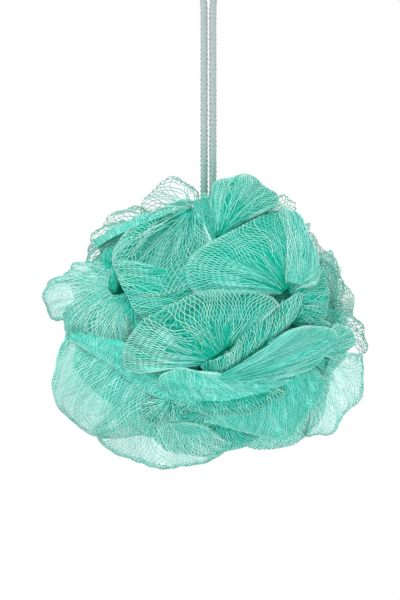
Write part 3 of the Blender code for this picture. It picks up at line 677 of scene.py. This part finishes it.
def srgb(red, green, blue):
    return tuple(((c / 255 + 0.055) / 1.055) ** 2.4 if c > 10 else c / 255 / 12.92
                 for c in (red, green, blue)) + (1.0,)


def add_node(tree, kind, inputs=None, **settings):
    """A node with its settings, and its inputs given as numbers or as other nodes' outputs."""
    node = tree.nodes.new(kind)
    for label, value in settings.items():
        setattr(node, label, value)
    for label, value in (inputs or {}).items():
        if isinstance(value, bpy.types.NodeSocket):
            tree.links.new(value, node.inputs[label])
        else:
            node.inputs[label].default_value = value
    return node


def maths(tree, operation, first, second=0.0, third=0.0):
    node = add_node(tree, "ShaderNodeMath", {0: first, 1: second, 2: third}, operation=operation)
    return node.outputs[0]


def new_material(name, roughness, gloss=0.5):
    material = bpy.data.materials.new(name)
    material.use_nodes = True
    tree = material.node_tree
    shader = tree.nodes["Principled BSDF"]
    shader.inputs["Roughness"].default_value = roughness
    shader.inputs["Specular IOR Level"].default_value = gloss
    return material, tree, shader


def object_noise(tree, scale, detail=2.0):
    place = add_node(tree, "ShaderNodeTexCoord").outputs["Object"]
    noise = add_node(tree, "ShaderNodeTexNoise", {
        "Vector": place, "Scale": scale, "Detail": detail})
    return noise.outputs["Fac"]


# Colours are red, green and blue from 0 to 255. Each mint has the tone at which it stands.
MINT_TONES = (
    (0.00, (0, 170, 138)), (0.20, (12, 186, 158)), (0.40, (40, 201, 179)),
    (0.60, (82, 213, 196)), (0.80, (130, 228, 213)), (1.00, (194, 246, 237)),
)
# Painted light: the purer mint of the light that reaches shaded folds and undersides through the
# mesh
THROUGH_LIGHT_MINT = (4, 190, 156)
PACKED_DARK = (14, 168, 140)
PACKED_LIGHT = (66, 198, 174)
# Painted shade: the paler grey-mint of thin threads lit from behind against the white
BACKLIT_GREY_THREAD = (134, 188, 175)
YARN_DARK = (150, 166, 163)
YARN_LIGHT = (192, 206, 204)
YARN_TINT = (150, 196, 184)
TINT_TOP, TINT_FULL = -0.075, -0.105  # heights in metres between which the tint grows
THREAD_GLOSS = 0.18
VEIL_GLOSS = 0.03
STREAK_SCALE = (1.1, 0.8, 1.0)  # of the bunched threads, across the net and along it
VEIL_LINES = 1.27  # to a mesh
FINE_LINES = 2.3
LINE_WIDTH = 0.15  # from a line's middle to its edge, in shares of the lines' spacing
LINE_SOFT = 0.10  # over which that edge fades, in the same shares


def mint_colour(tree, tone):
    """The netting's mint from a tone, from dark at 0 to light at 1. A purer mint is mixed in deep
    in the folds as painted light, for the light that reaches them through the mesh, and a paler
    grey-mint near the rims of lace as painted shade, for thin threads lit from behind."""
    ramp = add_node(tree, "ShaderNodeValToRGB", {"Fac": tone})
    steps = ramp.color_ramp.elements
    while len(steps) < len(MINT_TONES):
        steps.new(0.5)
    for step, (place, colour) in zip(steps, MINT_TONES):
        step.position = place
        step.color = srgb(*colour)
    colour = ramp.outputs["Color"]
    for label, share, other in (("deep", 0.7, THROUGH_LIGHT_MINT), ("pale", 0.55, BACKLIT_GREY_THREAD)):
        amount = add_node(tree, "ShaderNodeAttribute", attribute_name=label).outputs["Fac"]
        mix = add_node(tree, "ShaderNodeMix", data_type="RGBA")
        tree.links.new(maths(tree, "MULTIPLY", amount, share), mix.inputs["Factor"])
        tree.links.new(colour, mix.inputs[6])
        mix.inputs[7].default_value = srgb(*other)
        colour = mix.outputs[2]
    return colour


def thread_material():
    material, tree, shader = new_material("mint thread", 0.42, THREAD_GLOSS)
    tone = add_node(tree, "ShaderNodeAttribute", attribute_name="tone").outputs["Fac"]
    cloud = maths(tree, "MULTIPLY_ADD", object_noise(tree, 90.0), 0.24, -0.12)
    colour = mint_colour(tree, maths(tree, "ADD", tone, cloud))
    tree.links.new(colour, shader.inputs["Base Color"])
    return material


def veil_material():
    """The net under the threads: fine crossing lines that leave small diamonds open."""
    material, tree, shader = new_material("mint veil", 0.5, VEIL_GLOSS)
    net = add_node(tree, "ShaderNodeUVMap", uv_map="Net")
    split = add_node(tree, "ShaderNodeSeparateXYZ", {0: net.outputs["UV"]})
    cover = add_node(tree, "ShaderNodeAttribute", attribute_name="cover").outputs["Fac"]
    tone = add_node(tree, "ShaderNodeAttribute", attribute_name="tone").outputs["Fac"]
    wander = maths(tree, "MULTIPLY_ADD", object_noise(tree, 260.0), 0.5, -0.25)
    streak_place = add_node(tree, "ShaderNodeVectorMath", {
        0: net.outputs["UV"], 1: STREAK_SCALE}, operation="MULTIPLY").outputs[0]
    streak = add_node(tree, "ShaderNodeTexNoise", {
        "Vector": streak_place, "Scale": 1.0, "Detail": 2.0}).outputs["Fac"]
    streak = maths(tree, "MULTIPLY_ADD", streak, 3.0, -1.5)
    lines, fine_lines = [], []
    for operation in ("ADD", "SUBTRACT"):
        lean = maths(tree, operation, split.outputs["X"], split.outputs["Y"])
        under = maths(tree, "MULTIPLY_ADD", lean, VEIL_LINES,
                      maths(tree, "MULTIPLY", wander, 1.6))
        near = maths(tree, "SUBTRACT", maths(tree, "FRACT", under), 0.5)
        lines.append(maths(tree, "ABSOLUTE", near))
        close = maths(tree, "MULTIPLY_ADD", lean, FINE_LINES, wander)
        wave = maths(tree, "SUBTRACT", maths(tree, "FRACT", close), 0.5)
        fine_lines.append(maths(tree, "ABSOLUTE", wave))
    nearest = maths(tree, "MINIMUM", *lines)
    line = maths(tree, "DIVIDE", maths(tree, "SUBTRACT", LINE_WIDTH, nearest), LINE_SOFT)
    line = maths(tree, "MINIMUM", maths(tree, "MAXIMUM", line, 0.0), 1.0)
    weft = add_node(tree, "ShaderNodeAttribute", attribute_name="weft").outputs["Fac"]
    relief = add_node(tree, "ShaderNodeAttribute", attribute_name="relief").outputs["Fac"]
    room = maths(tree, "MULTIPLY", maths(tree, "SUBTRACT", 1.0, cover), weft)
    alpha = maths(tree, "MULTIPLY_ADD", line, room, cover)
    gap = maths(tree, "MULTIPLY", maths(tree, "SUBTRACT", 1.0, cover), 0.6)
    alpha = maths(tree, "MULTIPLY_ADD", maths(tree, "MULTIPLY", streak, cover), gap, alpha)
    tree.links.new(alpha, shader.inputs["Alpha"])
    # Darker cells between the fine lines: partly the net's open pattern, partly painted shade of
    # the layers seen through it
    ridge = maths(tree, "MULTIPLY_ADD", maths(tree, "MINIMUM", *fine_lines), -0.9, 0.16)
    ridge = maths(tree, "MULTIPLY_ADD", line, relief, ridge)
    cloud = maths(tree, "MULTIPLY_ADD", object_noise(tree, 70.0), 0.30, -0.15)
    bunched = maths(tree, "MULTIPLY_ADD", streak, relief, cloud)
    tone = maths(tree, "ADD", maths(tree, "ADD", tone, ridge), bunched)
    tree.links.new(mint_colour(tree, tone), shader.inputs["Base Color"])
    return material


def packed_material():
    """Folds packed so tight that the netting shows only as fine lines."""
    material, tree, shader = new_material("packed netting", 0.6, VEIL_GLOSS)
    place = add_node(tree, "ShaderNodeTexCoord").outputs["Object"]
    wave = add_node(tree, "ShaderNodeTexWave", {
        "Vector": place, "Scale": 260.0, "Distortion": 9.0, "Detail": 2.0, "Detail Scale": 1.2,
    }, bands_direction="DIAGONAL")
    mix = add_node(tree, "ShaderNodeMix", {"Factor": wave.outputs["Fac"]}, data_type="RGBA")
    mix.inputs[6].default_value = srgb(*PACKED_DARK)
    mix.inputs[7].default_value = srgb(*PACKED_LIGHT)
    tree.links.new(mix.outputs[2], shader.inputs["Base Color"])
    bump = add_node(tree, "ShaderNodeBump", {
        "Strength": 0.5, "Distance": 0.0006, "Height": wave.outputs["Fac"]})
    tree.links.new(bump.outputs["Normal"], shader.inputs["Normal"])
    return material


def make_packed(material):
    """The folds packed tight round the waist, thrown into ridges."""
    form = bmesh.new()
    bmesh.ops.create_icosphere(form, subdivisions=6, radius=1.0)
    for vert in form.verts:
        way = vert.co.normalized()
        lump = math.sin(7 * way.x + 2) * math.sin(6 * way.z + 1) * math.cos(5 * way.y)
        bent = way.x * 11 + 2.4 * math.sin(5 * way.z + 2 * way.y) + 1.7 * math.sin(6 * way.y)
        ridge = abs(math.sin(bent)) * abs(math.cos(4 * way.z + 3 * way.x))
        share = 1 + PACKED_LUMP * lump + PACKED_RIDGE * ridge
        vert.co = Vector(MIDDLE) + way * share * Vector(HALF_SIZES) * Vector(PACKED_SHARES)
    mesh = bpy.data.meshes.new("packed_folds")
    form.to_mesh(mesh)
    form.free()
    mesh.shade_smooth()
    mesh.materials.append(material)
    return link_mesh("packed_folds", mesh)


# The left strand, from the knot up to the loop's top: how far each point lies beyond half the
# strands' pitch, and its height, in metres
LEFT_STRAND = (
    (0.0, -0.1330), (0.0, -0.1250), (0.0, -0.1150), (0.0, -0.1050), (0.0, -0.0950),
    (0.0, -0.0850), (0.0, -0.0750), (0.0, -0.0650), (0.0, -0.0550), (0.0, -0.0460),
    (0.0, -0.0380), (0.0, -0.0310), (0.00025, -0.0255), (0.00125, -0.0205),
    (0.0029, -0.0158), (0.0045, -0.0112), (0.0051, -0.0068), (0.0042, -0.0026),
    (0.0021, 0.0004),
)


def loop_route():
    foot = -HANG_DROP + KNOT_TOP_HEIGHT + CLEARANCE
    left = [(-STRAND_PITCH / 2, 0.0, foot)]
    left += [(-STRAND_PITCH / 2 - parting, 0.0, height) for parting, height in LEFT_STRAND]
    right = [(-x, y, z) for x, y, z in reversed(left)]
    return np.array(left + [(0.0, 0.0, CORD_DIAMETER / 2)] + right)


def even_route(spacing):
    """The loop's middle line with points at an even spacing."""
    fine = along(loop_route(), np.linspace(0, 1, 3000))
    run = np.concatenate([[0], np.cumsum(np.linalg.norm(np.diff(fine, axis=0), axis=1))])
    places = np.linspace(0, run[-1], round(run[-1] / spacing) + 1)
    return np.stack([np.interp(places, run, fine[:, axis]) for axis in range(3)], 1), run[-1]


CORD_STEP = 0.0006
BRAID_LENGTH = 0.0068  # in which a yarn goes once round the cord
YARN_SHARE = 0.22  # of a yarn's radius in the cord's diameter
YARN_RIDE = 0.00032  # up and down, where yarns cross
YARN_SIDES = 7


def make_cord(tree):
    """The hanging loop as a round braid of eight yarns."""
    line, length = even_route(CORD_STEP)
    tangent = unit(np.gradient(line, axis=0))
    side = np.array((0.0, 1.0, 0.0))
    up = np.cross(tangent, side)
    run = np.linspace(0, length, len(line))
    yarn_radius = CORD_DIAMETER * YARN_SHARE
    chains = []
    for hand in (-1, 1):
        for number in range(4):
            angle = hand * (2 * np.pi * run / BRAID_LENGTH + np.pi / 4) + number * np.pi / 2
            ride = YARN_RIDE * np.cos(8 * np.pi * run / BRAID_LENGTH + (0 if hand > 0 else np.pi))
            radius = (CORD_DIAMETER / 2 - yarn_radius - YARN_RIDE / 2 + ride)[:, None]
            ring = np.cos(angle)[:, None] * up + np.sin(angle)[:, None] * side
            chains.append(np.column_stack([line + radius * ring, np.ones((len(line), 3))]))
    piece = thread_chains("cord_braid", chains)
    apply_tree(piece, tree, {"Strand Radius": yarn_radius, "Strand Sides": YARN_SIDES})
    return piece


def cord_material():
    """Twisted grey-green yarn, with fine plies along it and a greener tint low down, where the
    netting colours it."""
    material, tree, shader = new_material("cord yarn", 0.8)
    place = add_node(tree, "ShaderNodeTexCoord").outputs["Object"]
    plies = add_node(tree, "ShaderNodeTexWave", {
        "Vector": place, "Scale": 900.0, "Distortion": 3.0, "Detail": 1.0,
    }, bands_direction="DIAGONAL")
    mix = add_node(tree, "ShaderNodeMix", {"Factor": plies.outputs["Fac"]}, data_type="RGBA")
    mix.inputs[6].default_value = srgb(*YARN_DARK)
    mix.inputs[7].default_value = srgb(*YARN_LIGHT)
    height = add_node(tree, "ShaderNodeSeparateXYZ", {0: place}).outputs["Z"]
    low = add_node(tree, "ShaderNodeMapRange", {
        "Value": height, "From Min": TINT_TOP, "From Max": TINT_FULL})
    tint = add_node(tree, "ShaderNodeMix", {"Factor": low.outputs["Result"]}, data_type="RGBA")
    tree.links.new(mix.outputs[2], tint.inputs[6])
    tint.inputs[7].default_value = srgb(*YARN_TINT)
    tree.links.new(tint.outputs[2], shader.inputs["Base Color"])
    bump = add_node(tree, "ShaderNodeBump", {
        "Strength": 0.6, "Distance": 0.0002, "Height": plies.outputs["Fac"]})
    tree.links.new(bump.outputs["Normal"], shader.inputs["Normal"])
    return material


# The studio, in metres: the lamps' names, places, sizes and powers in watts, the floor, and the
# camera, which sees VIEW_HEIGHT of the space round the ball's middle
LAMPS = (
    ("key", (-0.5, -0.8, 0.8), 0.6, 7),
    ("fill", (0.8, -0.8, -0.4), 0.8, 3),
    ("back", (0.4, 0.9, 0.5), 0.8, 5),
)
WORLD_LIGHT = 0.95
FLOOR_RADIUS = 0.7
FLOOR_HEIGHT = -0.50
FLOOR_GREY = 0.86
SENSOR_HEIGHT = 36.0  # in millimetres
VIEW_HEIGHT = 0.240
CAMERA_DISTANCE = 1.5
CAMERA_ACROSS = -0.0034
CAMERA_RISE = 0.0088  # above the ball's middle


def make_stage():
    """The white backdrop, the even light from all round, and the pale floor."""
    world = bpy.data.worlds.new("studio")
    bpy.context.scene.world = world
    world.use_nodes = True
    tree = world.node_tree
    tree.nodes.clear()
    white = (1.0, 1.0, 1.0, 1.0)
    light = add_node(tree, "ShaderNodeBackground", {"Color": white, "Strength": WORLD_LIGHT})
    backdrop = add_node(tree, "ShaderNodeBackground", {"Color": white, "Strength": 1.0})
    path = add_node(tree, "ShaderNodeLightPath").outputs
    seen = maths(tree, "MAXIMUM", path["Is Camera Ray"], path["Is Glossy Ray"])
    seen = maths(tree, "MAXIMUM", seen, path["Is Transmission Ray"])
    mix = add_node(tree, "ShaderNodeMixShader", {
        0: seen, 1: light.outputs[0], 2: backdrop.outputs[0]})
    add_node(tree, "ShaderNodeOutputWorld", {"Surface": mix.outputs[0]})
    form = bmesh.new()
    bmesh.ops.create_circle(form, cap_ends=True, segments=64, radius=FLOOR_RADIUS)
    mesh = bpy.data.meshes.new("floor")
    form.to_mesh(mesh)
    form.free()
    material, tree, shader = new_material("pale floor", 0.9)
    shader.inputs["Base Color"].default_value = (FLOOR_GREY, FLOOR_GREY, FLOOR_GREY, 1)
    mesh.materials.append(material)
    floor = link_mesh("floor", mesh)
    floor.location = (0.0, 0.0, FLOOR_HEIGHT)


def add_lamp(name, place, size, power):
    lamp = bpy.data.lights.new(name, "AREA")
    lamp.shape = "DISK"
    lamp.size = size
    lamp.energy = power
    thing = bpy.data.objects.new(name, lamp)
    thing.location = place
    thing.rotation_euler = (Vector(MIDDLE) - Vector(place)).to_track_quat("-Z", "Y").to_euler()
    bpy.context.scene.collection.objects.link(thing)


def make_camera():
    lens = bpy.data.cameras.new("camera")
    lens.sensor_fit = "VERTICAL"
    lens.sensor_height = SENSOR_HEIGHT
    lens.lens = SENSOR_HEIGHT * CAMERA_DISTANCE / VIEW_HEIGHT
    lens.clip_start = 0.05
    camera = bpy.data.objects.new("camera", lens)
    camera.location = (CAMERA_ACROSS, -CAMERA_DISTANCE, -HANG_DROP + CAMERA_RISE)
    camera.rotation_euler = (math.pi / 2, 0.0, 0.0)
    bpy.context.scene.collection.objects.link(camera)
    bpy.context.scene.camera = camera


def dress(piece, node):
    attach(piece, "root")
    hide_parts(node)


def make_threads(leaves, tree):
    """All the leaves' threads, as pieces that each stay light enough."""
    chance = random.Random(FOLD_SEED)
    groups, cost = [[]], 0
    for leaf in leaves:
        threads = leaf_threads(leaf, chance)
        triangles = sum(len(thread) - 1 for thread in threads) * 2 * THREAD_SIDES
        if cost + triangles > PIECE_TRIANGLES:
            groups.append([])
            cost = 0
        groups[-1].extend(threads)
        cost += triangles
    pieces = []
    for number, group in enumerate(groups):
        piece = thread_chains("netting_threads_%d" % number, group)
        apply_tree(piece, tree, {"Strand Radius": THREAD_RADIUS, "Strand Sides": THREAD_SIDES})
        dress(piece, "netting")
        pieces.append(piece)
    return pieces


def main():
    scene = bpy.context.scene
    scene.view_settings.view_transform = "Standard"
    scene.cycles.transparent_max_bounces = 96  # for the many open layers of net
    make_camera()
    make_stage()
    for lamp in LAMPS:
        add_lamp(*lamp)
    yarn = cord_material()
    cord = make_cord(strand_tree(yarn))
    dress(cord, "hanging_loop")
    for node in ("waist_turns", "tie_knot"):
        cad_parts[node].material_slots[0].material = yarn
    leaves = face_leaves() + ring_leaves()
    fillers = filler_leaves()
    netted = leaves + fillers[:FRONT_FILLERS] + fillers[-BACK_FILLERS:]
    threads = make_threads(netted, strand_tree(thread_material()))
    veil = veil_material()
    for name, group, held in (("netting_face", leaves[:len(FACE_PETALS)], threads),
                              ("netting_back", leaves[len(FACE_PETALS):] + fillers, ())):
        sheet = leaf_sheets(name, group, veil)
        dress(sheet, "netting")
    packed = make_packed(packed_material())
    dress(packed, "netting")


main()
